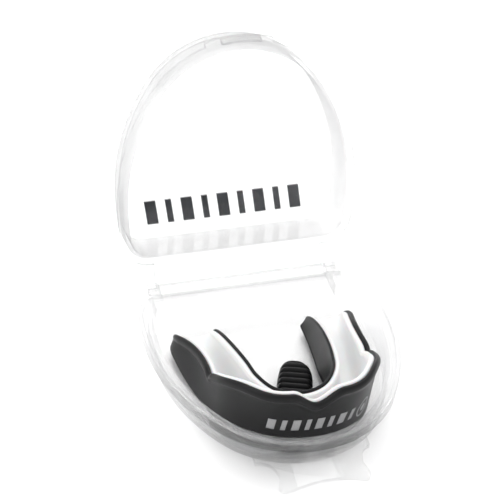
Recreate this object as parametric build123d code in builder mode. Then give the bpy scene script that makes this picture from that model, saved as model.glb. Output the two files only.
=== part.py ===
from build123d import *
import os
from math import cos, radians, sin, sqrt

# A clear hinged case, standing open, with a two-layer mouthguard lying in its tray.
# Millimetres. +X is right, the case's latch faces -Y, and Z = 0 is the surface it stands on.

# ---- Mouthguard: plan of the arch ----
guard_half_width = 31.0
guard_front = 45.5           # from the case's widest line forward
guard_rear = 8.0             # and back
guard_tip_share = 0.855      # radius of the front arc, as a share of the half width
arch_side_width = 16.0       # across the channel and both its walls, at the rear
arch_front_width = 11.5      # and at the front
lingual_tip_share = 0.834

# ---- Mouthguard: section of the arch ----
guard_floor_gap = 0.3
guard_height = 24.2
shell_wall = 2.0
shell_plate = 2.4
liner_wall = 1.7
liner_floor = 1.6
liner_set_down = 0.6         # liner's edge below the shell's edge
notch_radius = 5.0
notch_depth = 3.6
end_radius = 4.0             # rounded rear end of each wall, seen from the side

# ---- Case: plan outline, a D made of tangent arcs round the mouthguard ----
guard_side_gap = 4.4         # mouthguard to the inside of the tray
guard_front_gap = 2.4
guard_rear_gap = 9.2
front_tip_share = 0.8625     # radius of the front arc, as a share of the half width
rear_side_radius = 110.0
back_corner_radius = 9.5

# ---- Case: tray ----
wall = 1.4
tray_height = 12.4
floor_thickness = 1.5
band_height = 3.4            # the wider band round the top of the tray
band_overhang = 3.2          # how far the band stands out from the lower wall
base_edge_radius = 1.8
rim_edge_radius = 0.4

# ---- Case: finger tab below the latch ----
tab_reach = 9.0              # beyond the front of the band
tab_root_half = 18.0
tab_waist_half = 13.0
tab_tip_half = 14.2
tab_corner_radius = 3.0
tab_thickness = 1.3
tab_top = 8.6                # top of the arched sheet where it meets the band
tab_arch_radius = 30.0
tab_droop = 10.0             # degrees

# ---- Case: lid ----
rim_gap = 0.3                # between the two rims when the case is shut
guard_head_room = 3.1        # mouthguard to the lid's inside when the case is shut
lid_wall = 1.3
lid_top_thickness = 1.4
lid_flange_width = 2.0
lid_flange_thickness = 1.6
lid_top_radius = 4.5

# ---- Case: snap latch ----
latch_half_width = 11.0
latch_gap = 0.35             # skirt to band
latch_skirt_thickness = 1.15
latch_skirt_drop = 3.0
catch_offset = 9.3           # each catch's centre from the middle
catch_width = 5.0
catch_height = 1.8
catch_reach = 0.8
catch_side_gap = 0.5
catch_drop = 0.7             # below the tray's rim
catch_slot_depth = 0.35

# ---- Case: hinge ----
hinge_behind = 7.0           # pin centre behind the band
hinge_below_rim = 5.0
hinge_open_angle = 103.0     # degrees, as it stands
hinge_pin_radius = 1.2
pin_clearance = 0.05
barrel_radius = 2.2
lug_wall = 1.65
hinge_share = 0.71           # half the lid's barrel, as a share of the case's half width
hinge_side_gap = 0.4
lug_width = 3.0
leaf_thickness = 1.5
leaf_bend_radius = 3.0

# ---- Mouthguard: ribbed pad behind the front teeth ----
pad_share = 0.5              # of the width between the tongue walls
pad_length = 20.0
pad_thickness = 2.6
rib_count = 7
rib_width = 1.1
rib_height = 1.4

# ---- Printed marks: plain slanted bars and a ringed dot ----
mark_thickness = 0.25
mark_slant = 8.0             # degrees
lid_mark_share = 0.70        # of the case's width
lid_mark_height = 8.5
lid_mark_back = 10.3         # centre line, forward from the hinge side's edge
lid_bar_count = 9
shell_mark_width = 32.6
shell_mark_height = 4.2
shell_mark_level = 9.8       # above the guard's base
shell_mark_shift = 0.0
shell_bar_count = 8
badge_radius = 3.0
badge_ring = 0.6
badge_shift = 19.8
badge_level = 10.4

# ---- Places worked out from the sizes above ----
guard_tip_radius = guard_tip_share * guard_half_width
lingual_half_width = guard_half_width - arch_side_width
lingual_front = guard_front - arch_front_width
lingual_tip_radius = lingual_tip_share * lingual_half_width
case_half_width = guard_half_width + guard_side_gap + wall + band_overhang
case_front = guard_front + guard_front_gap + wall + band_overhang
case_back = guard_rear + guard_rear_gap + wall + band_overhang
front_tip_radius = front_tip_share * case_half_width
hinge_half_length = hinge_share * case_half_width
pad_half_width = pad_share * lingual_half_width
lid_mark_width = 2 * lid_mark_share * case_half_width
hinge_y = case_back + hinge_behind
hinge_z = tray_height - hinge_below_rim
lug_radius = hinge_pin_radius + pin_clearance + lug_wall
lug_inner_x = hinge_half_length + hinge_side_gap
guard_base = floor_thickness + guard_floor_gap
guard_top = guard_base + guard_height
plate_top = guard_base + shell_plate
lid_rim = tray_height + rim_gap
lid_top = guard_top + guard_head_room + lid_top_thickness
lid_depth = lid_top - lid_rim
far = 4 * case_half_width    # longer than anything that it cuts

# The lid is drawn in the place it has when shut, on planes turned about the hinge pin.
swing = radians(hinge_open_angle)
lid_origin = (
    0,
    hinge_y - hinge_y * cos(swing) - hinge_z * sin(swing),
    hinge_z + hinge_y * sin(swing) - hinge_z * cos(swing),
)
lid_frame = Plane(origin=lid_origin, x_dir=(1, 0, 0), z_dir=(0, sin(swing), cos(swing)))
lid_side = Plane(origin=lid_origin, x_dir=(0, cos(swing), -sin(swing)), z_dir=(1, 0, 0))


def side_radius(half_width, reach, tip_radius):
    """Radius of the side arc that leaves the widest line square and meets the tip arc smoothly."""
    run = reach - tip_radius
    return (half_width**2 + run**2 - tip_radius**2) / (2 * (half_width - tip_radius))


def tip_tangent_point(half_width, front, tip_radius, widest_y):
    """Where the tip arc and the right side arc meet."""
    radius = side_radius(half_width, front + widest_y, tip_radius)
    side_centre = Vector(half_width - radius, widest_y)
    tip_centre = Vector(0, tip_radius - front)
    return tip_centre + (tip_centre - side_centre).normalized() * tip_radius


def case_face(inset=0.0):
    """The case's plan, with every arc drawn in by inset."""
    half_width = case_half_width - inset
    front = case_front - inset
    back = case_back - inset
    corner = back_corner_radius - inset
    rear_radius = rear_side_radius - inset
    tip_point = tip_tangent_point(half_width, front, front_tip_radius - inset, 0)
    rear_centre_x = half_width - rear_radius
    corner_y = back - corner
    corner_x = rear_centre_x + sqrt((rear_radius - corner) ** 2 - corner_y**2)
    rear_centre = Vector(rear_centre_x, 0)
    corner_centre = Vector(corner_x, corner_y)
    rear_point = corner_centre + (corner_centre - rear_centre).normalized() * corner
    with BuildSketch(Plane.XY) as face:
        with BuildLine():
            tip = TangentArc((0, -front), tip_point, tangent=(1, 0))
            side = TangentArc(tip_point, (half_width, 0), tangent=tip % 1)
            rear = TangentArc((half_width, 0), rear_point, tangent=side % 1)
            TangentArc(rear_point, (corner_x, back), tangent=rear % 1)
            Line((corner_x, back), (0, back))
            mirror(about=Plane.YZ)
        make_face()
    return face.sketch


def arch_face(half_width, front, tip_radius):
    """A U filled in to its open rear end, for one face of the arch."""
    tip_point = tip_tangent_point(half_width, front, tip_radius, guard_rear)
    with BuildSketch(Plane.XY) as face:
        with BuildLine():
            tip = TangentArc((0, -front), tip_point, tangent=(1, 0))
            TangentArc(tip_point, (half_width, guard_rear), tangent=tip % 1)
            Line((half_width, guard_rear), (0, guard_rear))
            mirror(about=Plane.YZ)
        make_face()
    return face.sketch


def lip_face(inset=0.0):
    """Arch region bounded by the lip and cheek side, drawn in by inset."""
    return arch_face(guard_half_width - inset, guard_front - inset, guard_tip_radius - inset)


def tongue_face(outset=0.0):
    """Arch region bounded by the tongue side, drawn out by outset."""
    return arch_face(lingual_half_width + outset, lingual_front + outset, lingual_tip_radius + outset)


def side_profile(rear_level, step_level, front_level, drop=0.0):
    """Side view of one wall of the arch: low and rounded behind, high in front."""
    rear_y = guard_rear - drop
    with BuildSketch(Plane.XY) as profile:
        with BuildLine():
            Line((-case_front, guard_base), (rear_y, guard_base))
            Line((rear_y, guard_base), (rear_y, rear_level - end_radius - drop))
            end = TangentArc(
                (rear_y, rear_level - end_radius - drop),
                (rear_y - end_radius, rear_level - drop),
                tangent=(0, 1),
            )
            Spline(
                end @ 1,
                (-lingual_front * 0.6, step_level - drop),
                (-guard_front, front_level - drop),
                tangents=(end % 1, (-1, 0)),
            )
            Line((-guard_front, front_level - drop), (-case_front, front_level - drop))
            Line((-case_front, front_level - drop), (-case_front, guard_base))
        make_face()
    return profile.sketch


def lip_profile(drop=0.0):
    """Side view of the tall wall against the lip and cheeks."""
    return side_profile(guard_base + 9.2, guard_base + 17.0, guard_top, drop)


def tongue_profile(drop=0.0):
    """Side view of the lower wall against the tongue."""
    return side_profile(guard_base + 8.4, guard_base + 14.0, guard_base + 15.5, drop)


def slanted_bar(width, height):
    """One printed bar, leaning to the right."""
    lean = height / 2 * sin(radians(mark_slant)) / cos(radians(mark_slant))
    with BuildSketch(Plane.XY) as bar:
        Polygon(
            (-width / 2 - lean, -height / 2),
            (width / 2 - lean, -height / 2),
            (width / 2 + lean, height / 2),
            (-width / 2 + lean, height / 2),
        )
    return bar.sketch


# ---- Tray ----
with BuildPart() as tray:
    with BuildSketch(Plane.XY):
        add(case_face(band_overhang))
    extrude(amount=tray_height - band_height)
    fillet(tray.edges().group_by(Axis.Z)[0], base_edge_radius)
    with BuildSketch(Plane.XY.offset(tray_height - band_height)):
        add(case_face())
    extrude(amount=band_height)
    fillet(tray.edges().group_by(Axis.Z)[-1], rim_edge_radius)
    # hinge lugs
    for side in (-1, 1):
        lug_centre_x = side * (lug_inner_x + lug_width / 2)
        with BuildSketch(Plane.YZ.offset(lug_centre_x)):
            with Locations(((hinge_y + case_back - band_overhang - wall) / 2, hinge_z)):
                Rectangle(hinge_y - case_back + band_overhang + wall, 2 * lug_radius)
            with Locations((hinge_y, hinge_z)):
                Circle(lug_radius)
        extrude(amount=lug_width / 2, both=True)

# The tab is an arched sheet trimmed to a flared plan.
tab_plane = Plane(
    origin=(0, -case_front + band_overhang, tab_top),
    x_dir=(1, 0, 0),
    z_dir=(0, -cos(radians(tab_droop)), -sin(radians(tab_droop))),
)
with BuildPart() as tab:
    with BuildSketch(tab_plane):
        with Locations((0, -tab_arch_radius)):
            Circle(tab_arch_radius)
            Circle(tab_arch_radius - tab_thickness, mode=Mode.SUBTRACT)
        with Locations((0, -tab_arch_radius / 4)):
            Rectangle(3 * tab_root_half, tab_arch_radius / 2, mode=Mode.INTERSECT)
    extrude(amount=far, both=True)
    with BuildSketch(Plane.XY) as tab_plan:
        # the flare leaves the band along the band's own curve
        tip_centre_y = front_tip_radius - case_front
        root_drop = sqrt(front_tip_radius**2 - tab_root_half**2)
        root_y = tip_centre_y - root_drop + band_overhang + wall
        tip_y = -case_front - tab_reach
        waist_y = -case_front - tab_reach / 3
        with BuildLine():
            Line((0, root_y), (tab_root_half, root_y))
            Line((tab_root_half, root_y), (tab_root_half, tip_centre_y - root_drop))
            TangentArc(
                (tab_root_half, tip_centre_y - root_drop),
                (tab_waist_half, waist_y),
                tangent=(-root_drop, -tab_root_half),
            )
            Line((tab_waist_half, waist_y), (tab_tip_half, tip_y + tab_corner_radius))
            ThreePointArc(
                (tab_tip_half, tip_y + tab_corner_radius),
                (tab_tip_half - tab_corner_radius * 0.3, tip_y + tab_corner_radius * 0.3),
                (tab_tip_half - tab_corner_radius, tip_y),
            )
            Line((tab_tip_half - tab_corner_radius, tip_y), (0, tip_y))
            mirror(about=Plane.YZ)
        make_face()
    extrude(amount=tray_height, mode=Mode.INTERSECT)

with tray:
    add(tab.part)
    # latch catches, each with a shallow slot in its face
    with BuildSketch(Plane.XY.offset(tray_height - catch_drop - catch_height)):
        add(case_face(-catch_reach))
        add(case_face(wall / 2), mode=Mode.SUBTRACT)
        with Locations((-catch_offset, -case_front), (catch_offset, -case_front)):
            Rectangle(catch_width, case_front, mode=Mode.INTERSECT)
    extrude(amount=catch_height)
    slot_height = catch_height / 3
    with BuildSketch(Plane.XY.offset(tray_height - catch_drop - catch_height / 2 - slot_height / 2)):
        add(case_face(-catch_reach - wall))
        add(case_face(catch_slot_depth - catch_reach), mode=Mode.SUBTRACT)
        with Locations((-catch_offset, -case_front), (catch_offset, -case_front)):
            Rectangle(catch_width * 0.6, case_front, mode=Mode.INTERSECT)
    extrude(amount=slot_height, mode=Mode.SUBTRACT)
    # inside of the tray: deep well, then the wider seat inside the band
    with BuildSketch(Plane.XY.offset(floor_thickness)):
        add(case_face(band_overhang + wall))
    extrude(amount=tray_height, mode=Mode.SUBTRACT)
    with BuildSketch(Plane.XY.offset(tray_height - band_height + wall)):
        add(case_face(wall))
    extrude(amount=tray_height, mode=Mode.SUBTRACT)
    # pin bores through both lugs
    with BuildSketch(Plane.YZ):
        with Locations((hinge_y, hinge_z)):
            Circle(hinge_pin_radius + pin_clearance)
    extrude(amount=far, both=True, mode=Mode.SUBTRACT)

# ---- Lid ----
with BuildPart() as lid_cavity:
    with BuildSketch(lid_frame.offset(lid_rim - wall)):
        add(case_face(lid_flange_width + lid_wall))
    extrude(amount=wall + lid_depth - lid_top_thickness)
    top_edges = lid_cavity.faces().sort_by(Axis((0, 0, 0), lid_frame.z_dir))[-1].edges()
    fillet(top_edges, lid_top_radius - lid_wall)

with BuildPart() as lid:
    with BuildSketch(lid_frame.offset(lid_rim)):
        add(case_face(lid_flange_width))
    extrude(amount=lid_depth)
    top_edges = lid.faces().sort_by(Axis((0, 0, 0), lid_frame.z_dir))[-1].edges()
    fillet(top_edges, lid_top_radius)
    with BuildSketch(lid_frame.offset(lid_rim)):
        add(case_face())
    extrude(amount=lid_flange_thickness)
    # latch lip: a ledge on the flange and a skirt that hangs over the band
    with BuildSketch(lid_frame.offset(lid_rim)):
        add(case_face(-latch_gap - latch_skirt_thickness))
        with Locations((0, -case_front)):
            Rectangle(2 * latch_half_width, case_front, mode=Mode.INTERSECT)
    extrude(amount=lid_flange_thickness)
    with BuildSketch(lid_frame.offset(lid_rim - latch_skirt_drop)):
        add(case_face(-latch_gap - latch_skirt_thickness))
        add(case_face(-latch_gap), mode=Mode.SUBTRACT)
        with Locations((0, -case_front)):
            Rectangle(2 * latch_half_width, case_front, mode=Mode.INTERSECT)
        with Locations((-catch_offset, -case_front), (catch_offset, -case_front)):
            Rectangle(catch_width + 2 * catch_side_gap, case_front, mode=Mode.SUBTRACT)
    extrude(amount=latch_skirt_drop)
    add(lid_cavity.part, mode=Mode.SUBTRACT)
    # hinge leaf, barrel and the two pins
    with BuildSketch(lid_side):
        with BuildLine():
            FilletPolyline(
                (case_back - lid_flange_width, lid_rim + lid_flange_thickness / 2),
                (hinge_y, lid_rim + lid_flange_thickness / 2),
                (hinge_y, hinge_z),
                radius=leaf_bend_radius,
            )
        trace(line_width=leaf_thickness)
        with Locations((hinge_y, hinge_z)):
            Circle(barrel_radius)
    extrude(amount=hinge_half_length, both=True)
    with BuildSketch(lid_side):
        with Locations((hinge_y, hinge_z)):
            Circle(hinge_pin_radius)
    extrude(amount=lug_inner_x + lug_width, both=True)

# ---- Mouthguard shell ----
with BuildPart() as lip_wall:
    with BuildSketch(Plane.XY.offset(guard_base)):
        add(lip_face())
        add(lip_face(shell_wall), mode=Mode.SUBTRACT)
    extrude(amount=far)
    with BuildSketch(Plane.YZ):
        add(lip_profile())
    extrude(amount=far, both=True, mode=Mode.INTERSECT)

with BuildPart() as tongue_wall:
    with BuildSketch(Plane.XY.offset(guard_base)):
        add(tongue_face(shell_wall))
        add(tongue_face(), mode=Mode.SUBTRACT)
    extrude(amount=far)
    with BuildSketch(Plane.YZ):
        add(tongue_profile())
    extrude(amount=far, both=True, mode=Mode.INTERSECT)

with BuildPart() as guard_shell:
    with BuildSketch(Plane.XY.offset(guard_base)):
        add(lip_face())
        add(tongue_face(), mode=Mode.SUBTRACT)
    extrude(amount=shell_plate)
    add(lip_wall.part)
    add(tongue_wall.part)
    # ribbed pad behind the front wall
    pad_middle_y = -lingual_front + pad_length / 2 - shell_wall / 2
    with BuildSketch(Plane.XY.offset(guard_base)):
        with Locations((0, pad_middle_y)):
            RectangleRounded(2 * pad_half_width, pad_length, pad_half_width / 2)
    extrude(amount=pad_thickness)
    rib_pitch = pad_length / (rib_count + 3)
    with BuildSketch(Plane.XY.offset(guard_base + pad_thickness)):
        for rib in range(rib_count):
            with Locations((0, -lingual_front + pad_length - shell_wall / 2 - (rib + 1.5) * rib_pitch)):
                Rectangle(2 * pad_half_width - 2 * rib_width, rib_width)
    extrude(amount=rib_height)

# ---- Mouthguard liner ----
with BuildPart() as lip_lining:
    with BuildSketch(Plane.XY.offset(plate_top)):
        add(lip_face(shell_wall))
        add(lip_face(shell_wall + liner_wall), mode=Mode.SUBTRACT)
    extrude(amount=far)
    with BuildSketch(Plane.YZ):
        add(lip_profile(liner_set_down))
    extrude(amount=far, both=True, mode=Mode.INTERSECT)

with BuildPart() as tongue_lining:
    with BuildSketch(Plane.XY.offset(plate_top)):
        add(tongue_face(shell_wall + liner_wall))
        add(tongue_face(shell_wall), mode=Mode.SUBTRACT)
    extrude(amount=far)
    with BuildSketch(Plane.YZ):
        add(tongue_profile(liner_set_down))
    extrude(amount=far, both=True, mode=Mode.INTERSECT)

with BuildPart() as guard_liner:
    with BuildSketch(Plane.XY.offset(plate_top)):
        add(lip_face(shell_wall))
        add(tongue_face(shell_wall), mode=Mode.SUBTRACT)
    extrude(amount=liner_floor)
    with BuildSketch(Plane.YZ):
        add(lip_profile(liner_set_down))
    extrude(amount=far, both=True, mode=Mode.INTERSECT)
    add(lip_lining.part)
    add(tongue_lining.part)

# Notch for the lip's middle fold, through the front of the shell and the liner.
with BuildPart() as fold_notch:
    with BuildSketch(Plane.XZ.offset(lingual_front + shell_wall + liner_wall)):
        with Locations((0, guard_top - notch_depth + notch_radius)):
            Circle(notch_radius)
    extrude(amount=far)

with guard_shell:
    add(fold_notch.part, mode=Mode.SUBTRACT)

with guard_liner:
    add(fold_notch.part, mode=Mode.SUBTRACT)

# ---- Printed marks ----
lid_pitch = lid_mark_width / lid_bar_count
with BuildPart() as lid_mark:
    with BuildSketch(lid_frame.offset(lid_top)):
        for bar in range(lid_bar_count):
            bar_x = (bar - (lid_bar_count - 1) / 2) * lid_pitch
            bar_width = lid_pitch * (0.62 if bar % 2 == 0 else 0.34)
            with Locations((bar_x, case_back - lid_mark_back)):
                add(slanted_bar(bar_width, lid_mark_height))
    extrude(amount=mark_thickness)

shell_pitch = shell_mark_width / shell_bar_count
with BuildPart() as shell_mark:
    with BuildSketch(Plane.XY.offset(guard_base)):
        add(lip_face(-mark_thickness))
        add(lip_face(), mode=Mode.SUBTRACT)
    extrude(amount=far)
    with BuildSketch(Plane.XZ):
        for bar in range(shell_bar_count):
            bar_x = (bar - (shell_bar_count - 1) / 2) * shell_pitch + shell_mark_shift
            bar_width = shell_pitch * (0.64 if bar % 2 == 0 else 0.4)
            with Locations((bar_x, guard_base + shell_mark_level)):
                add(slanted_bar(bar_width, shell_mark_height))
    extrude(amount=far, mode=Mode.INTERSECT)

with BuildPart() as shell_badge:
    with BuildSketch(Plane.XY.offset(guard_base)):
        add(lip_face(-mark_thickness))
        add(lip_face(), mode=Mode.SUBTRACT)
    extrude(amount=far)
    with BuildSketch(Plane.XZ):
        with Locations((badge_shift, guard_base + badge_level)):
            Circle(badge_radius)
            Circle(badge_radius - badge_ring, mode=Mode.SUBTRACT)
            Circle(badge_radius / 3)
    extrude(amount=far, mode=Mode.INTERSECT)

# ---- Write each piece ----
pieces = {
    "tray": tray,
    "lid": lid,
    "guard_shell": guard_shell,
    "guard_liner": guard_liner,
    "lid_mark": lid_mark,
    "shell_mark": shell_mark,
    "shell_badge": shell_badge,
}
os.makedirs("parts", exist_ok=True)
for name, piece in pieces.items():
    piece.part.label = name
    export_step(piece.part, f"parts/{name}.step")
    print(name, "solids", len(piece.part.solids()), "volume", round(piece.part.volume, 1))
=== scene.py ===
# %% [markdown]
# # A mouthguard in its clear case
# The object is a small clear case that stands open, with a black and white mouthguard lying in its tray.
# The tray, the lid and the lid's printed bars arrive as fixed, exact meshes. This lesson builds the soft,
# sculpted mouthguard and its print, gives each surface the finish of its real material, and lights it all as
# on a white table.

import math

import bpy
import numpy as np
from mathutils import Matrix, Vector


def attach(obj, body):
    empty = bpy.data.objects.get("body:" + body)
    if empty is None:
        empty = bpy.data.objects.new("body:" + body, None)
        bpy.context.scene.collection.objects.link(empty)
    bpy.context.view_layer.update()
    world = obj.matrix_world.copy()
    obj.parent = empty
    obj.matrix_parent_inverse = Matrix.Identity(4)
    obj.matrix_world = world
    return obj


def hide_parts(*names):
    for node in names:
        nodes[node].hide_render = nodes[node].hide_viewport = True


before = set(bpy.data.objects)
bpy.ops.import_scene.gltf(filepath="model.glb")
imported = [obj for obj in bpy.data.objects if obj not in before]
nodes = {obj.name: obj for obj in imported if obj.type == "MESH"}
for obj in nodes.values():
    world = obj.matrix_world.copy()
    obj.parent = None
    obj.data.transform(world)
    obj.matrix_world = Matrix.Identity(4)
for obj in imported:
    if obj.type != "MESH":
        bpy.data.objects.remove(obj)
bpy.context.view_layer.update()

# %% [markdown]
# ## Sizes
# All sizes are real millimetres, turned to metres in one place. The arch of the mouthguard is a U seen from
# above: an arc at the front, and on each side a wider arc that meets it without a corner. The same two arcs
# draw the lip side and the tongue side, with their own widths, so the channel between them stays even.

# %% Sizes of the arch
MM = 0.001
ARCH_REAR = 8.0            # how far the arms run back from the case's widest line
LIP_SIDE = (31.0, 45.5, 26.505)       # half width, front and tip radius of the lip side
TONGUE_SIDE = (15.0, 34.0, 12.51)     # the same for the tongue side
BASE = 1.8                 # underside of the mouthguard above the table
PLATE = 2.4                # black bite plate under the liner
SHELL_WALL = 2.0
LINER_WALL = 1.6
LINER_FLOOR = 1.6
BEAD, BEAD_HALF = 0.5, 1.5            # how far the rim's bead stands out, and half of its height


def arch_points(side, u):
    """Points on a U seen from above, at shares u (-1 left rear, 0 front, 1 right rear) of its length.
    A tip arc of radius r about (0, r - front) joins a side arc whose centre lies on the line y = rear,
    with radius R = (a^2 + d^2 - r^2) / (2 (a - r)), where a is the half width and d = front + rear - r.
    Returns the points and the unit directions that point out of the U."""
    half_width, front, tip = side
    run = front + ARCH_REAR - tip
    wide = (half_width**2 + run**2 - tip**2) / (2 * (half_width - tip))
    tip_centre = np.array([0.0, tip - front])
    side_centre = np.array([half_width - wide, ARCH_REAR])
    towards = tip_centre - side_centre
    turn = math.atan2(towards[0], -towards[1])       # of the joining point, from straight ahead
    tip_length = tip * turn
    total = tip_length + wide * (math.pi / 2 - turn)
    along = np.abs(u) * total
    on_tip = along < tip_length
    angle = np.where(on_tip, along / tip, turn + (along - tip_length) / wide)
    radius = np.where(on_tip, tip, wide)
    centre = np.where(on_tip[:, None], tip_centre, side_centre)
    out = np.stack([np.sin(angle), -np.cos(angle)], 1)
    flip = np.stack([np.where(u < 0, -1.0, 1.0), np.ones_like(u)], 1)
    return (centre + radius[:, None] * out) * flip, out * flip


for name, side in (("lip side", LIP_SIDE), ("tongue side", TONGUE_SIDE)):
    ends, _ = arch_points(side, np.array([-1.0, 0.0, 1.0]))
    print(name, "runs through", np.round(ends, 1).tolist())

# %% [markdown]
# ## Heights of the walls
# Seen from the side, each wall starts as a rounded lobe at the rear end and rises along the arm. The lip wall
# then has a small step where the front flange begins, climbs to the front, and dips in the middle for the
# fold of the lip. Heights are smooth functions of the place along the arch, so that all sections are worked
# out at once.

# %% Heights of the walls
ARM_LENGTH = 82.0          # about the length of one side of the U along the lip side
STEP_AT = -22.0            # y of the step where the front flange begins
STEP_DIP, STEP_HALF = 0.7, 1.6        # depth and half width of the hollow just behind the step
SHOULDER = 0.5             # height of the small rise right at the step
LOBE_START = 6.4           # height of the walls at the very end of an arm
LIP_LOBE, LIP_LOBE_RUN = 10.4, 34.0   # how much the lip wall's lobe adds, and over what length
FLANGE, FLANGE_RUN = 9.6, 20.0        # the same for the front flange
NOTCH_HALF, NOTCH_DEPTH = 7.8, 5.0
TONGUE_LOBE, TONGUE_LOBE_RUN = 11.2, 30.0 * ARM_LENGTH / 52.0
TONGUE_DROP = 1.2          # how much lower the tongue wall is again in front
FOOT_FLARE = 1.9           # how far the tongue wall's foot runs out along the arms
FOOT_TUCK = 0.4            # how far it is drawn in everywhere
END_LIFT = 1.3             # how much the underside lifts at the very end of an arm


def smooth(low, high, x):
    """0 below low, 1 above high, and 3t^2 - 2t^3 between them."""
    t = np.clip((x - low) / (high - low), 0.0, 1.0)
    return t * t * (3 - 2 * t)


def lobe(u, length, power):
    """Share of full height near an end: (1 - (1 - e/length)^p)^(1/p), e the distance from the end."""
    e = np.clip((1 - np.abs(u)) * ARM_LENGTH / length, 0.0, 1.0)
    return (1 - (1 - e) ** power) ** (1 / power)


def lip_height(u):
    """Top of the lip wall: the lobe, less a bell-shaped dip, then a quarter sine to the power 1.15 up the
    front flange and a small shoulder, less a smooth notch."""
    points, _ = arch_points(LIP_SIDE, u)
    x, y = points[:, 0], points[:, 1]
    arm = LOBE_START + LIP_LOBE * lobe(u, LIP_LOBE_RUN, 1.5)
    dip = STEP_DIP * np.exp(-((y - STEP_AT - 1.0) / STEP_HALF) ** 2)
    flange = FLANGE * np.sin(math.pi / 2 * np.clip((STEP_AT - y) / FLANGE_RUN, 0, 1)) ** 1.15
    shoulder = SHOULDER * smooth(STEP_AT, STEP_AT - 1.6, y)
    notch = NOTCH_DEPTH * (1 - smooth(0.0, NOTCH_HALF, np.abs(x)))
    return arm - dip + flange + shoulder - notch


def tongue_height(u):
    """Top of the tongue wall: a long lobe, a little lower again at the front."""
    y = arch_points(TONGUE_SIDE, u)[0][:, 1]
    return LOBE_START + TONGUE_LOBE * lobe(u, TONGUE_LOBE_RUN, 1.4) - TONGUE_DROP * smooth(-26.0, -33.0, y)


def tongue_foot(u):
    """How far the tongue wall's foot runs out towards the tongue: along the arms only."""
    return FOOT_FLARE * smooth(0.25, 0.6, np.abs(u)) - FOOT_TUCK


def underside(u):
    """Underside of the shell, which lifts in a quarter ellipse over the last 4 of an arm."""
    return BASE + END_LIFT * (1 - lobe(u, 4.0, 2.0))


# %% [markdown]
# ## Leans of the lip wall
# The wall leans in towards the teeth along the arms and out towards the lip in front. Depths are measured in
# from the lip side of the arch, at the wall's foot and at its rim, and the face between follows from both.
# It follows a smooth outline, because a mould's face doesn't bend where its edge is trimmed.

# %% Leans of the lip wall
RIM_DEPTH, RIM_PROUD, RIM_LEAN = 0.7, 1.7, 5.4      # in the middle, less at the corners, more along the arms
RIM_WIDTH, RIM_SLIMMER, RIM_LOBE_SLIMMER = 2.1, 0.2, 0.5
FOOT_DEPTH, FRONT_FOOT, END_FOOT = 0.3, 0.8, 2.2    # along the arms, more in front, more at the ends
CREASE_DEPTH = 0.4         # the crease under the bead lies this far in from the rim's outer side
LEAN_FROM = 3.0            # height that the face starts to lean from
OUTLINE, OUTLINE_RISE = 14.0, 9.5     # smooth outline height along the arms, and what it gains in front


def rim_depth(u):
    """Depth of the lip wall's inner rim: shallow in the middle, less by a bell curve at both front corners,
    where the rim stands proud, and deeper along the arms, which lean in."""
    a = np.abs(u)
    return RIM_DEPTH - RIM_PROUD * np.exp(-((a - 0.2) / 0.11) ** 2) + RIM_LEAN * smooth(0.35, 0.9, a)


def rim_width(u):
    """Width of the rolled rim: widest in front, a little slimmer along the arms and slimmer at the lobes."""
    a = np.abs(u)
    return RIM_WIDTH - RIM_SLIMMER * smooth(0.4, 0.6, a) - RIM_LOBE_SLIMMER * smooth(0.9, 1.0, a)


def foot_depth(u):
    """Depth of the lip wall's foot: deepest in the middle of the front and at the rounded rear ends."""
    return FOOT_DEPTH + FRONT_FOOT * (1 - smooth(0.0, 0.4, np.abs(u))) + END_FOOT * (1 - lobe(u, 6.0, 2.2))


def face_depth(u, height):
    """Depth of the outer face at a height: the foot's depth, plus the rest of the lean times the share of a
    smooth outline height to the power 1.25. The notch, step and lobes only trim this face, as on a mould."""
    y = arch_points(LIP_SIDE, u)[0][:, 1]
    outline = OUTLINE + OUTLINE_RISE * smooth(-14.0, -42.0, y)
    under_bead = rim_depth(u) - rim_width(u) + CREASE_DEPTH
    foot = foot_depth(u)
    share = np.clip((height - LEAN_FROM) / (outline[:, None] - LEAN_FROM), 0, 1.15)
    return foot[:, None] + (under_bead - foot)[:, None] * share ** 1.25


def bead_size(u):
    """The bead is full on the front flange and half as proud along the arms."""
    y = arch_points(LIP_SIDE, u)[0][:, 1]
    return BEAD * (0.5 + 0.5 * smooth(STEP_AT + 0.8, STEP_AT - 1.4, y)) * (0.3 + 0.7 * lobe(u, 8.0, 2.0))


print("front top", lip_height(np.array([0.14])).round(2), "notch", lip_height(np.zeros(1)).round(2))

# %% [markdown]
# ## A profile carried along the arch
# The shell and the liner are both one closed section carried along the U from the left rear end to the right.
# A point of a section is given by the side it belongs to (0 lip, 1 tongue), its depth in from that side and
# its height. Numpy works out all the sections as one array, and one call turns the array into a mesh. Near
# both ends the sections shrink along a quarter circle, which rounds the ends, and a flat face closes each.

# %% Sections into a mesh
END_ROUND = 0.7            # radius of the rounding at the rear ends


def arch_shares(count=420):
    """Shares -1 to 1 of the arch, drawn closer together at the ends: sin(pi t / 2) of an even spacing,
    blended with the even spacing so that the front keeps enough sections."""
    t = np.linspace(-1, 1, count)
    return np.clip(0.45 * np.sin(t * math.pi / 2) + 0.55 * t, -1, 1)


def end_inset(u):
    """Depth that the sections shrink by: r - sqrt(r^2 - (r - e)^2), e the distance from the end, if e < r."""
    e = np.minimum((1 - np.abs(u)) * ARM_LENGTH, END_ROUND)
    return END_ROUND - np.sqrt(END_ROUND**2 - (END_ROUND - e) ** 2)


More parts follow.
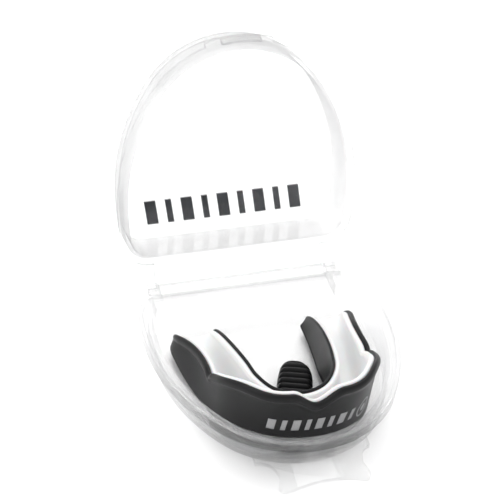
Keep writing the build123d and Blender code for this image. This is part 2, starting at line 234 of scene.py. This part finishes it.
def place(u, side, depth, height):
    """World points of sections: (1 - side) (L - depth nL) + side (T + depth nT), for the lip and tongue
    curves L and T with their outward directions. side, depth and height are arrays of sections by points."""
    lip, lip_out = arch_points(LIP_SIDE, u)
    tongue, tongue_out = arch_points(TONGUE_SIDE, u)
    on_lip = lip[:, None] - depth[..., None] * lip_out[:, None]
    on_tongue = tongue[:, None] + depth[..., None] * tongue_out[:, None]
    flat = (1 - side[..., None]) * on_lip + side[..., None] * on_tongue
    return np.concatenate([flat, height[..., None]], 2)


def gathered(n, runs):
    """Puts runs of (side, (depth, height)) side by side as three arrays of sections by points."""
    one = np.ones((n, 1))
    sizes = [(one * depth * height).shape for _, (depth, height) in runs]
    side = np.concatenate([np.full(size, float(s)) for size, (s, _) in zip(sizes, runs)], 1)
    depth = np.concatenate([np.broadcast_to(d, size) for size, (_, (d, _)) in zip(sizes, runs)], 1)
    height = np.concatenate([np.broadcast_to(h, size) for size, (_, (_, h)) in zip(sizes, runs)], 1)
    return side, depth, height


def new_piece(name, points, faces):
    """A smooth-shaded mesh at the origin, from points in millimetres and lists of point numbers."""
    mesh = bpy.data.meshes.new(name)
    mesh.from_pydata((points.reshape(-1, 3) * MM).tolist(), [], faces)
    mesh.polygons.foreach_set("use_smooth", np.ones(len(faces), bool))
    made = bpy.data.objects.new(name, mesh)
    bpy.context.scene.collection.objects.link(made)
    print(name, "has", len(faces), "faces")
    return made


def grid_faces(index):
    """Four-sided faces between the neighbours of a grid of point numbers."""
    return np.stack([index[:-1, :-1], index[:-1, 1:], index[1:, 1:], index[1:, :-1]], -1).reshape(-1, 4)


def carried_mesh(name, sections):
    """Joins each section to the next with four-sided faces and closes both ends with one face each."""
    rows, cols = sections.shape[:2]
    index = np.arange(rows * cols).reshape(rows, cols)
    after = np.roll(index, -1, 1)
    quads = np.stack([index[:-1], after[:-1], after[1:], index[1:]], 2).reshape(-1, 4)
    corners = sections.reshape(-1, 3)[quads]
    centre = corners.mean(1)
    normal = np.cross(corners[:, 2] - corners[:, 0], corners[:, 3] - corners[:, 1])
    faces = quads.tolist() + [index[0, ::-1].tolist(), index[-1].tolist()]
    if (centre * normal).sum() < 0:        # the signed volume says which way the faces look
        faces = [f[::-1] for f in faces]
    return new_piece(name, sections, faces)


# %% [markdown]
# ## The black shell
# The shell is moulded in a firm black EVA rubber. Its lip wall ends in a rolled bead, its bite plate has a
# rounded lower corner, and its tongue wall is thin with a plain round edge. The section is drawn as eight
# runs of points: the base corner, the outer face, the rim, the channel's lip side and tongue side, the tongue
# wall's edge, the tongue face and its heel.

# %% The shell's section
BASE_CORNER = 1.6
TONGUE_WALL = 0.9
SHELL_REACH = 0.997        # share of the arch that the shell covers, so that the liner's end closes it


def shell_sections(u):
    """All sections of the shell. The rims are half ellipses about their middles."""
    n = len(u)
    inset = end_inset(u)[:, None]
    bead, rim_wide = bead_size(u)[:, None], rim_width(u)[:, None]
    lip_top, tongue_top = lip_height(u)[:, None] - inset, tongue_height(u)[:, None] - inset
    low = underside(u)[:, None] + inset * 0.3
    foot = foot_depth(u)[:, None]
    corner_size = BASE_CORNER * (0.3 + 0.7 * lobe(u, 6.0, 2.0))[:, None]
    # base corner, a quarter circle
    a = np.linspace(0, math.pi / 2, 6)[None]
    corner = foot + corner_size * (1 - np.sin(a)) + inset, low + corner_size * (1 - np.cos(a))
    # outer face, up to the crease under the bead
    f = np.linspace(0.06, 1, 16)[None]
    crease = lip_top - 2 * BEAD_HALF * np.minimum(1, (lip_top - low) / 9)
    face_low = low + corner_size
    crease = np.maximum(crease, face_low + 0.1)
    face_at = face_low + f * (crease - face_low)
    face = face_depth(u, face_at) + inset, face_at
    # bead and rim
    t = np.linspace(-0.2, 1, 16)[None] * math.pi
    half = rim_wide / 2 - inset * 0.75
    tall = (lip_top - crease) / 1.9
    rim_in = face_depth(u, crease) - bead + rim_wide
    rim = rim_in - rim_wide / 2 + inset * 0.25 - half * np.cos(t), lip_top - tall + tall * np.sin(t)
    # channel, under the liner
    floor = np.maximum(BASE + PLATE, low + 0.5)
    down = np.array([[0.0, 0.5, 1.0]])
    rim_foot = lip_top - tall
    inner_depth = (rim_in - inset * 0.5) * (1 - down) + (foot + SHELL_WALL) * down
    inner = inner_depth, rim_foot + down * (floor - rim_foot)
    edge_low = np.maximum(tongue_top - TONGUE_WALL / 2, floor + 0.05)
    up = TONGUE_WALL + 0 * down + 0 * inset, floor + down * (edge_low - floor)
    # tongue wall's edge
    r = np.linspace(0, 1, 9)[None] * math.pi
    wall = TONGUE_WALL / 2 - inset * 0.3
    edge = TONGUE_WALL / 2 + wall * np.cos(r), edge_low + 1.1 * wall * np.sin(r)
    # tongue face, with the same lean, and its base corner
    g = np.linspace(0.94, 0, 10)[None]
    flare = tongue_foot(u)[:, None]
    back = inset * 0.5 - flare * (1 - g) ** 1.3, face_low + g * (edge_low - face_low)
    b = np.linspace(math.pi / 2, 0, 6)[None]
    heel = -flare + corner_size * (1 - np.sin(b)) + inset * 0.5, low + corner_size * (1 - np.cos(b))
    runs = [(0, corner), (0, face), (0, rim), (0, inner), (1, up), (1, edge), (1, back), (1, heel)]
    return place(u, *gathered(n, runs))


shell = carried_mesh("shell_body", shell_sections(arch_shares() * SHELL_REACH))

# %% [markdown]
# ## The white liner
# A soft white gel lines the channel that the teeth bite into. It covers the inside of both walls and the
# bite plate, with wide rounded valleys that narrow in front, and stops a little short of the black edges.
# Its hidden faces lie just inside the shell, so that no gap shows between the two materials.

# %% The liner's section
SET_DOWN = 0.5             # liner's edge below the shell's edge
TUCK = 0.12                # hidden faces lie this far inside the shell
EDGE_CROWN = 0.8           # height of the rounding along the liner's edges
VALLEY = 3.4               # how far a wall's foot runs out into the channel's floor along the arms
FRONT_VALLEY = 1.9         # the same in front, where the channel is narrower


def valley_run(u):
    """VALLEY along the arms, falling smoothly to FRONT_VALLEY in front, so that the feet never cross."""
    return VALLEY - (VALLEY - FRONT_VALLEY) * (1 - smooth(0.3, 0.7, np.abs(u)))


def liner_sections(u):
    """All sections of the liner: edge, valley, floor, valley, edge, and back along the shell."""
    n = len(u)
    inset = end_inset(u)[:, None] * 0.5
    low = underside(u)[:, None]
    bottom = np.maximum(BASE + PLATE, low + 0.5) - TUCK
    floor = bottom + LINER_FLOOR * (0.25 + 0.75 * lobe(u, 8.0, 2.0)[:, None])
    lip_top = np.maximum(lip_height(u)[:, None] - SET_DOWN - inset, floor + 0.1)
    tongue_top = np.maximum(tongue_height(u)[:, None] - SET_DOWN - inset, floor + 0.1)
    crease = lip_height(u)[:, None] - 2 * BEAD_HALF
    rim_in = face_depth(u, crease) - bead_size(u)[:, None] + rim_width(u)[:, None]
    foot = foot_depth(u)[:, None] + SHELL_WALL
    thick = LINER_WALL * (0.5 + 0.5 * lobe(u, 8.0, 2.0)[:, None])
    half = (thick + TUCK) / 2
    run_out = valley_run(u)[:, None]
    t = np.linspace(0, 1, 9)[None] * math.pi
    lip_edge = rim_in - TUCK + half * (1 - np.cos(t)), lip_top - EDGE_CROWN + EDGE_CROWN * np.sin(t)
    v = np.linspace(0, math.pi / 2, 12)[None]
    room = np.maximum(lip_top - EDGE_CROWN - floor, 0.05)
    slope = (1 - np.sin(v))
    lip_side = (rim_in + thick) * slope + (foot + thick) * (1 - slope)
    lip_valley = lip_side + run_out * (1 - np.cos(v)), floor + room * slope
    room_t = np.maximum(tongue_top - EDGE_CROWN - floor, 0.05)
    w = np.linspace(math.pi / 2, 0, 12)[None]
    slope = (1 - np.sin(w))
    tongue_valley = TONGUE_WALL + thick + run_out * (1 - np.cos(w)), floor + room_t * slope
    tongue_edge = (TONGUE_WALL - TUCK + half * (1 + np.cos(t)),
                   tongue_top - EDGE_CROWN + EDGE_CROWN * np.sin(t))
    under = TONGUE_WALL - TUCK + 0 * inset, bottom
    under_lip = foot - TUCK, bottom
    runs = [(0, lip_edge), (0, lip_valley), (1, tongue_valley), (1, tongue_edge), (1, under), (0, under_lip)]
    return place(u, *gathered(n, runs))


liner = carried_mesh("liner_body", liner_sections(arch_shares()))
for piece in (shell, liner):
    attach(piece, "mouthguard")
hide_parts("guard_shell")
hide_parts("guard_liner")

# %% [markdown]
# ## The dark ribbed patch
# Behind the front wall a small black ribbed shape lies low between the arms, where a dark ribbed patch of
# unknown cause shows, and it swings to the right towards its rear. Its ribs catch the light one by one, so
# they are real shapes and not a bump map: a sheet over a rounded outline whose height is a row of smooth
# humps along its length, closed with a flat underside.

# %% The patch's surface
PATCH_HALF, PATCH_FRONT, PATCH_REAR = 6.0, -34.0, -9.0
PATCH_SHIFT = 6.0            # how far its rear end lies to the right of its front end
PATCH_LIFT, PATCH_CROWN = 2.2, 1.6        # its edge above the guard's underside, and its body above its edge
RIBS = 11
RIB_HEIGHT = 1.3
RIB_TURN = 0.3             # how far a rib runs back on its left, per mm across
ROUNDNESS = 2.6            # power of the outline: 2 is an ellipse, more is squarer


def ribbed_patch_sheet(u, v):
    """u -1 to 1 across, v -1 to 1 from front to rear. The outline is a superellipse of power ROUNDNESS whose
    middle line swings to the right. The height is a base height, plus humps |sin|^0.8 of RIBS half waves,
    faded out at the outline by 1 - r^8."""
    r = np.maximum(np.abs(u), np.abs(v))
    power_mean = (np.abs(u) ** ROUNDNESS + np.abs(v) ** ROUNDNESS) ** (1 / ROUNDNESS)
    round_off = r / np.maximum(power_mean, 1e-9)
    y = (PATCH_FRONT + PATCH_REAR) / 2 + v * round_off * (PATCH_REAR - PATCH_FRONT) / 2
    x = u * round_off * PATCH_HALF
    y = y - RIB_TURN * x * smooth(PATCH_FRONT, PATCH_FRONT + 12, y)
    x = x + PATCH_SHIFT * smooth(PATCH_FRONT + 3, PATCH_REAR + 1, y)
    rib = np.abs(np.sin((v * round_off + 1) / 2 * math.pi * RIBS)) ** 0.8
    lift = 1 - np.clip(r, 0, 1) ** 8
    return np.stack([x, y, BASE + PATCH_LIFT + lift * (PATCH_CROWN + RIB_HEIGHT * rib)], -1)


def closed_sheet(name, top, low):
    """Joins a grid of top points to the same grid laid flat at height low, with a wall round the edge."""
    rows, cols = top.shape[:2]
    under = top.copy()
    under[..., 2] = low
    index = np.arange(rows * cols).reshape(rows, cols)
    quads = grid_faces(index)
    rim = np.concatenate([index[0, :-1], index[:-1, -1], index[-1, :0:-1], index[:0:-1, 0]])
    after = np.roll(rim, -1)
    shift = rows * cols
    walls = np.stack([rim, rim + shift, after + shift, after], 1)
    faces = np.concatenate([quads, quads[:, ::-1] + shift, walls])
    return new_piece(name, np.concatenate([top, under]), faces.tolist())


grid_u, grid_v = np.meshgrid(np.linspace(-1, 1, 61), np.linspace(-1, 1, 181))
# a black ribbed shape put where a dark ribbed patch of unknown cause shows
pad = closed_sheet("dark_ribbed_patch", ribbed_patch_sheet(grid_u, grid_v), BASE + 0.1)
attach(pad, "mouthguard")

# %% [markdown]
# ## The print on the shell
# The real print is a thin layer of ink that follows the curved lip face. Each bar is a small sheet whose
# points are laid on that face by the same formula as the shell's, so it can't float or sink in. The ringed
# dot is made from two sheets in polar form: a ring and a disc.

# %% Ink laid on the lip face
INK_LIFT, INK_THICK = 0.03, 0.05
BAR_SPAN = (-17.5, 17.5)   # along the face, from the middle
BAR_LEVELS = (10.3, 15.0)
BAR_SLANT = math.tan(math.radians(8))
BAR_FALL, BAR_PIVOT = 0.04, 8.0       # the row falls this much per mm to the right of this place
BARS, WIDE_BAR, THIN_BAR = 8, 0.64, 0.4             # their number, and their widths as shares of the pitch
BADGE_AT = (22.3, 11.0)
BADGE_RINGS = ((3.1, 3.7), (0.02, 1.4))             # inner and outer radius of the ring and of the dot


def on_lip_face(along, height):
    """Points on the outer face at a distance along it from the middle and at a height: the shell's own
    lip curve, less the face's depth at that height, plus the ink's lift."""
    u = along.ravel() / ARM_LENGTH
    depth = face_depth(u, height.reshape(-1, 1))[:, 0] - INK_LIFT
    points, out = arch_points(LIP_SIDE, u)
    flat = points - depth[:, None] * out
    return np.concatenate([flat, height.reshape(-1, 1)], 1).reshape(*along.shape, 3)


def joined(name, grids):
    """One piece out of several grids of points, given the ink's thickness by Solidify."""
    points, faces, start = [], [], 0
    for grid in grids:
        rows, cols = grid.shape[:2]
        faces.append(grid_faces(np.arange(rows * cols).reshape(rows, cols) + start))
        points.append(grid.reshape(-1, 3))
        start += rows * cols
    made = new_piece(name, np.concatenate(points), np.concatenate(faces).tolist())
    thick = made.modifiers.new("ink", "SOLIDIFY")
    thick.thickness = INK_THICK * MM
    thick.offset = 0
    return made


bars = []
pitch = (BAR_SPAN[1] - BAR_SPAN[0]) / BARS
for bar in range(BARS):
    wide = pitch * (WIDE_BAR if bar % 2 == 0 else THIN_BAR)
    across, up = np.meshgrid(np.linspace(-0.5, 0.5, 9), np.linspace(0, 1, 9))
    height = BAR_LEVELS[0] + up * (BAR_LEVELS[1] - BAR_LEVELS[0])
    middle = BAR_SPAN[0] + (bar + 0.5) * pitch
    along = middle + across * wide + (height - sum(BAR_LEVELS) / 2) * BAR_SLANT
    bars.append(on_lip_face(along, height - BAR_FALL * (along - BAR_PIVOT)))
ink_bars = joined("ink_bars", bars)

rings = []
for inner, outer in BADGE_RINGS:
    angle, radius = np.meshgrid(np.linspace(0, 2 * math.pi, 49), np.linspace(outer, inner, 4))
    rings.append(on_lip_face(BADGE_AT[0] + radius * np.cos(angle), BADGE_AT[1] + radius * np.sin(angle)))
ink_badge = joined("ink_badge", rings)
for piece, stood_for in ((ink_bars, "shell_mark"), (ink_badge, "shell_badge")):
    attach(piece, "mouthguard")
    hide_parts(stood_for)

# %% [markdown]
# ## Finishes
# Every finish starts from its real material. One small function adds a node with its settings and links, one
# turns an sRGB hex value into the linear colour that shaders use, and four more build what several finishes
# share: a noise, a blend of two colours, a bump and a mix of two shaders.

# %% Helpers for finishes


def linear(hex_value):
    """sRGB hex to linear: c/12.92 below 0.04045, else ((c + 0.055)/1.055)^2.4."""
    parts = [int(hex_value[i:i + 2], 16) / 255 for i in (1, 3, 5)]
    return [c / 12.92 if c <= 0.04045 else ((c + 0.055) / 1.055) ** 2.4 for c in parts] + [1.0]


def add_node(tree, kind, settings=None, links=None):
    """Adds a node. settings go to its attributes or input sockets by name, links to input sockets."""
    made = tree.nodes.new(kind)
    for name, value in (settings or {}).items():
        if hasattr(made, name):
            setattr(made, name, value)
        else:
            made.inputs[name].default_value = value
    for name, source in (links or {}).items():
        tree.links.new(source, made.inputs[name])
    return made


def noise(tree, scale, detail):
    """A noise in Object coordinates, with about scale patches to the metre."""
    where = add_node(tree, "ShaderNodeTexCoord")
    return add_node(tree, "ShaderNodeTexNoise", {"Scale": scale, "Detail": detail},
                    {"Vector": where.outputs["Object"]}).outputs["Fac"]


def blend(tree, factor, first, second):
    """A colour between two sRGB hex values."""
    made = add_node(tree, "ShaderNodeMix", {"data_type": "RGBA"}, {"Factor": factor})
    made.inputs[6].default_value, made.inputs[7].default_value = linear(first), linear(second)
    return made.outputs[2]


def bump(tree, strength, distance, height):
    """A bumped normal. distance is in metres."""
    return add_node(tree, "ShaderNodeBump", {"Strength": strength, "Distance": distance},
                    {"Height": height}).outputs["Normal"]


def mixed(tree, share, first, second):
    """Two shaders mixed. share, a number or a socket, says how much of the second there is."""
    if isinstance(share, float):
        made = add_node(tree, "ShaderNodeMixShader", {"Fac": share})
    else:
        made = add_node(tree, "ShaderNodeMixShader", links={"Fac": share})
    tree.links.new(first, made.inputs[1])
    tree.links.new(second, made.inputs[2])
    return made.outputs["Shader"]


def new_finish(name):
    """An empty material with only its output."""
    material = bpy.data.materials.new(name)
    material.use_nodes = True
    material.node_tree.nodes.clear()
    return material, material.node_tree


def clad(piece, material):
    """Gives a piece one material."""
    piece.data.materials.clear()
    piece.data.materials.append(material)


# %% [markdown]
# The case is injection-moulded clear polystyrene: colourless, very smooth, refractive index about 1.59. Its
# walls are thin, so what shows is not their colour but their edges, which gather grey, and soft reflections.
# Full refraction alone would turn every rounded edge nearly black, because only a few of light's many bounces
# are followed, so a share of the surface is plainly see-through, with the same gloss laid over its outside.
# The index is lowered to 1.5 for the same reason. Walls seen edge on take a painted grey, shade standing in
# for the grey that refraction and reflection give clear edges, which also dims their glint; tray and lid each
# have their own painted grey and gloss, the lid's grey darker.
# A faint waviness stands for the mould's flow marks.

# %% Clear polystyrene
INDEX = 1.5
EDGE_SHADE_FROM = 0.45           # Layer Weight's Facing at which the edge tint begins


def clear_finish(name, bending, edge, shine_share):
    """Clear moulding: a share bending of refracting, glossy plastic and the rest plainly see-through, with
    Fresnel's reflection times shine_share on outward faces. Where a wall is seen edge on, its tint and glint
    near the edge colour, a painted shade for the grey of clear edges. Lamps shine through it, so what lies
    inside is lit."""
    material, tree = new_finish(name)
    waves = bump(tree, 0.02, 0.0006, noise(tree, 55.0, 1.0))
    facing = add_node(tree, "ShaderNodeLayerWeight", {"Blend": 0.5}).outputs["Facing"]
    # painted shade: the tint and the glint turn towards the grey edge colour where a wall is seen edge on
    edge_shade_share = add_node(tree, "ShaderNodeMapRange", {"From Min": EDGE_SHADE_FROM}, {"Value": facing})
    tint_and_edge_shade = blend(tree, edge_shade_share.outputs["Result"], "#fcfcfc", edge)
    gloss = add_node(tree, "ShaderNodeBsdfPrincipled",
                     {"Roughness": 0.04, "IOR": INDEX, "Transmission Weight": 1.0},
                     {"Normal": waves, "Base Color": tint_and_edge_shade})
    clear = add_node(tree, "ShaderNodeBsdfTransparent", links={"Color": tint_and_edge_shade})
    glint = add_node(tree, "ShaderNodeBsdfGlossy", {"Roughness": 0.05}, {"Color": tint_and_edge_shade, "Normal": waves})
    # Fresnel's reflection times shine_share on outward faces, and none on inward ones
    fresnel = add_node(tree, "ShaderNodeFresnel", {"IOR": INDEX}, {"Normal": waves})
    geometry = add_node(tree, "ShaderNodeNewGeometry")
    outside = add_node(tree, "ShaderNodeMath", {"operation": "SUBTRACT", "use_clamp": True})
    outside.inputs[0].default_value = shine_share
    tree.links.new(geometry.outputs["Backfacing"], outside.inputs[1])
    shine = add_node(tree, "ShaderNodeMath", {"operation": "MULTIPLY"})
    tree.links.new(fresnel.outputs["Fac"], shine.inputs[0])
    tree.links.new(outside.outputs["Value"], shine.inputs[1])
    plain = mixed(tree, shine.outputs["Value"], clear.outputs["BSDF"], glint.outputs["BSDF"])
    seen = mixed(tree, bending, plain, gloss.outputs["BSDF"])
    path = add_node(tree, "ShaderNodeLightPath")
    lit = mixed(tree, path.outputs["Is Shadow Ray"], seen, clear.outputs["BSDF"])
    add_node(tree, "ShaderNodeOutputMaterial", links={"Surface": lit})
    return material


# the third value is each part's painted edge shade, darker on the lid
clad(nodes["tray"], clear_finish("clear polystyrene, tray", 0.28, "#ececed", 1.0))
clad(nodes["lid"], clear_finish("clear polystyrene, lid", 0.32, "#c2c2c3", 0.45))

# %% [markdown]
# The shell is EVA rubber moulded in a fine satin tool: nearly black, with a broad soft sheen and a grain of
# about 0.3 mm that only just breaks the highlights. Slow, faint changes in roughness show where the tool's
# finish and handling differ.

# %% Black EVA rubber
rubber, tree = new_finish("black EVA rubber, satin moulded")
cloud = noise(tree, 90.0, 2.0)
satin = add_node(tree, "ShaderNodeMapRange", {"To Min": 0.34, "To Max": 0.46}, {"Value": cloud})
body = add_node(tree, "ShaderNodeBsdfPrincipled", {"IOR": 1.49, "Specular IOR Level": 0.2},
                {"Base Color": blend(tree, cloud, "#121213", "#19191a"), "Roughness": satin.outputs["Result"],
                 "Normal": bump(tree, 0.12, 0.0001, noise(tree, 3300.0, 2.0))})
add_node(tree, "ShaderNodeOutputMaterial", links={"Surface": body.outputs["BSDF"]})
clad(shell, rubber)
clad(pad, rubber)

# %% [markdown]
# The liner is a soft white gel elastomer. Light enters it a little before it comes back, which softens its
# shadows, and its surface has a low sheen with a very slight unevenness from moulding.

# %% White gel liner
gel, tree = new_finish("white gel elastomer")
soft = noise(tree, 160.0, 2.0)
body = add_node(tree, "ShaderNodeBsdfPrincipled",
                {"Roughness": 0.38, "IOR": 1.45, "Subsurface Weight": 0.25, "Subsurface Scale": 0.002},
                {"Base Color": blend(tree, soft, "#dedede", "#e6e6e6"),
                 "Normal": bump(tree, 0.1, 0.0003, soft)})
add_node(tree, "ShaderNodeOutputMaterial", links={"Surface": body.outputs["BSDF"]})
clad(liner, gel)

# %% [markdown]
# Both prints are pad-printed ink: a matt layer whose edges and density vary a little. The ink on the lid is
# near black, and the ink on the shell is a pale grey with a trace of the black showing through.

# %% Printed inks


def ink_finish(name, thin, full, roughness):
    """A matt ink between a thin and a full colour, by a fine noise of about 0.5 mm."""
    material, tree = new_finish(name)
    body = add_node(tree, "ShaderNodeBsdfPrincipled", {"Roughness": roughness},
                    {"Base Color": blend(tree, noise(tree, 2000.0, 3.0), thin, full)})
    add_node(tree, "ShaderNodeOutputMaterial", links={"Surface": body.outputs["BSDF"]})
    return material


lid_ink = ink_finish("near-black pad-print ink", "#414245", "#54565a", 0.5)
shell_ink = ink_finish("pale grey pad-print ink", "#8f8f90", "#a9a9aa", 0.55)
clad(nodes["lid_mark"], lid_ink)
clad(ink_bars, shell_ink)
clad(ink_badge, shell_ink)
print("finishes", sorted(m.name for m in bpy.data.materials if m.users))

# %% [markdown]
# ## Table and light
# The case stands on a plain white table in an even, bright room. A wide soft panel overhead models the walls,
# a weaker one from the left fills the arms, and a long narrow strip behind draws thin highlights on the rims.

# %% Table and light
TABLE_HALF = 3.0           # in metres, like everything in this cell
TABLE_DROP = 0.0002        # how far the table lies below the tray, so that the two never share a plane
ROOM_STRENGTH = 0.86
square = [(-1, -1), (1, -1), (1, 1), (-1, 1)]
table_mesh = bpy.data.meshes.new("table_top")
table_mesh.from_pydata([(x * TABLE_HALF, y * TABLE_HALF, -TABLE_DROP) for x, y in square], [], [(0, 1, 2, 3)])
table = bpy.data.objects.new("table_top", table_mesh)
bpy.context.scene.collection.objects.link(table)
paint, tree = new_finish("white table paint")
body = add_node(tree, "ShaderNodeBsdfPrincipled", {"Base Color": linear("#fbfbfb"), "Roughness": 0.7})
add_node(tree, "ShaderNodeOutputMaterial", links={"Surface": body.outputs["BSDF"]})
clad(table, paint)

world = bpy.data.worlds.new("bright room")
bpy.context.scene.world = world
world.use_nodes = True
room = world.node_tree.nodes["Background"]
room.inputs["Color"].default_value = (1, 1, 1, 1)
room.inputs["Strength"].default_value = ROOM_STRENGTH


def panel(name, at, aim, size, watts):
    """A soft area lamp at a place, turned to look at a point, in metres."""
    lamp = bpy.data.lights.new(name, "AREA")
    lamp.shape, lamp.size, lamp.size_y, lamp.energy = "RECTANGLE", size[0], size[1], watts
    made = bpy.data.objects.new(name, lamp)
    made.location = at
    made.rotation_euler = (Vector(aim) - Vector(at)).to_track_quat("-Z", "Y").to_euler()
    bpy.context.scene.collection.objects.link(made)


CENTRE = (0.0, -0.01, 0.02)
panel("overhead panel", (0.12, 0.2, 0.77), CENTRE, (0.7, 0.4), 2.2)
panel("strip behind", (0.1, 0.45, 0.6), CENTRE, (0.9, 0.025), 1.3)
panel("left panel", (-0.7, -0.1, 0.45), CENTRE, (0.5, 0.5), 1.6)

# %% [markdown]
# ## Camera
# The camera looks down at about 39 degrees from the latch side, a little from the left, with a long lens
# that keeps the perspective flat, and it is tilted slightly, as a hand-held one is.

# %% Camera
TURN, RISE, TILT = map(math.radians, (-19.94, 38.75, 5.53))
DISTANCE = 0.525           # from the point it looks at, in metres
AIM = Vector((-0.00858, 0.0, 0.04407))
LENS_SHARE = 3.46314741    # focal length as a share of the frame's width
back = Vector((math.sin(TURN) * math.cos(RISE), -math.cos(TURN) * math.cos(RISE), math.sin(RISE)))
level = Vector((math.cos(TURN), math.sin(TURN), 0))
upright = back.cross(level)
right = math.cos(TILT) * level + math.sin(TILT) * upright
up = -math.sin(TILT) * level + math.cos(TILT) * upright
lens = bpy.data.cameras.new("camera")
lens.sensor_width = 36.0
lens.lens = LENS_SHARE * lens.sensor_width
lens.clip_start, lens.clip_end = 0.02, 20.0
camera = bpy.data.objects.new("camera", lens)
bpy.context.scene.collection.objects.link(camera)
turned = Matrix((right, up, back)).transposed().to_4x4()
camera.matrix_world = Matrix.Translation(AIM + back * DISTANCE) @ turned
bpy.context.scene.camera = camera
bpy.context.scene.view_settings.view_transform = "Standard"
print("camera at", [round(c, 3) for c in camera.location], "lens", round(lens.lens, 1), "mm")
